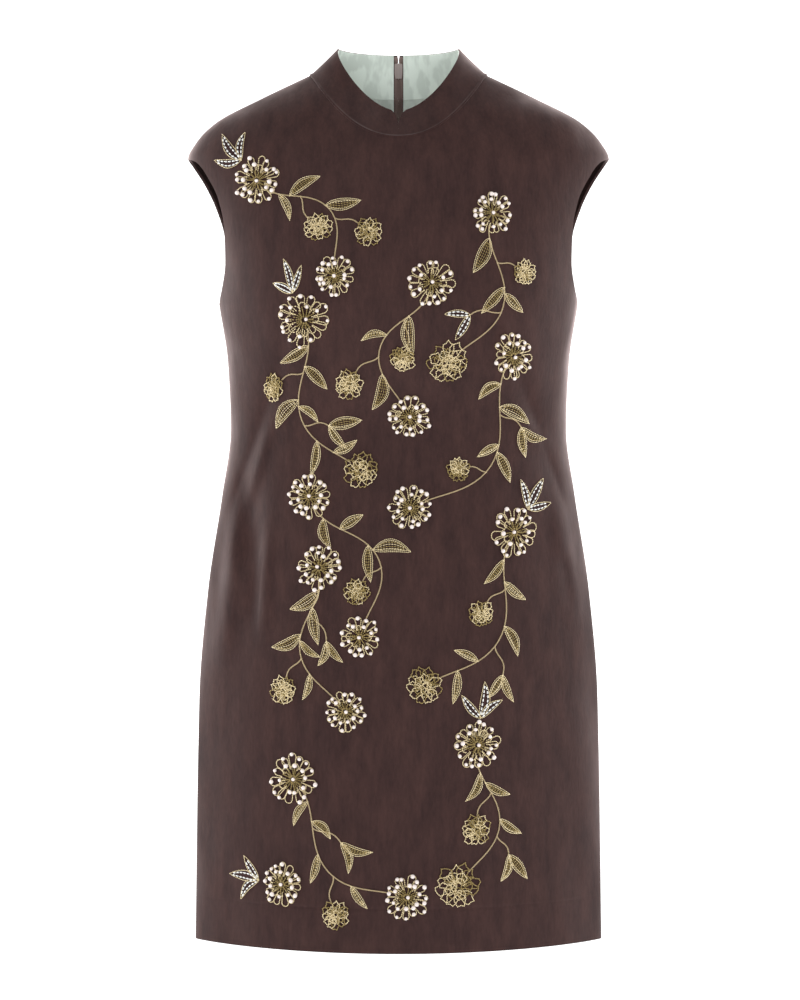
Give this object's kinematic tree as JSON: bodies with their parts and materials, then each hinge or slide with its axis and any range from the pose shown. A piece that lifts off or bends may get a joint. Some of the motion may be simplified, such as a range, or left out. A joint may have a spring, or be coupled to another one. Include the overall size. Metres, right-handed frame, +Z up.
{
  "type": "cheongsam dress",
  "caption": "Hollow knee-length cheongsam dress with an upright collar, cap shoulders, a back zip with a hinged pull, and beaded flower sprays.",
  "frame": {"origin": "midway between the two points where the shoulder seams meet the collar, where the wearer's shoulders hold it", "axes": "+Z up, -Y the way the dress faces, +X the wearer's left"},
  "size_m": [0.442, 0.2349, 0.9355],
  "materials": {
    "velvet": "dark brown silk-blend velvet, pale where the nap turns away",
    "lining": "pale green jacquard lining",
    "zip_tape": "woven nylon zip tape and coil, grey-brown",
    "zip_metal": "lacquered zinc, grey-brown",
    "pearl_beads": "pearl and clear glass beads",
    "gold_beads": "old-gold bugle beads and cord",
    "silver_beads": "silver-lined beads"
  },
  "bodies": {
    "dress": {"front": "velvet", "back_left": "velvet", "back_right": "velvet", "collar_left": "velvet", "collar_right": "velvet", "collar_lining_left": "lining", "collar_lining_right": "lining", "neck_lining_left": "lining", "neck_lining_right": "lining", "facing_front_left": "velvet", "facing_front_right": "velvet", "facing_back_left": "velvet", "facing_back_right": "velvet", "zip_tape_left": "zip_tape", "zip_tape_right": "zip_tape", "zip_coil": "zip_tape", "zip_stop": "zip_metal", "zip_slider": "zip_metal"},
    "zip_pull": {"zip_pull": "zip_metal"}
  },
  "joints": [
    {"name": "pull_tab_hinge", "type": "hinge", "parent": "dress", "child": "zip_pull", "pos_m": [0, 0.06673, 0.01563], "axis": [1, 0, 0], "range_deg": [0, 150]}
  ]
}
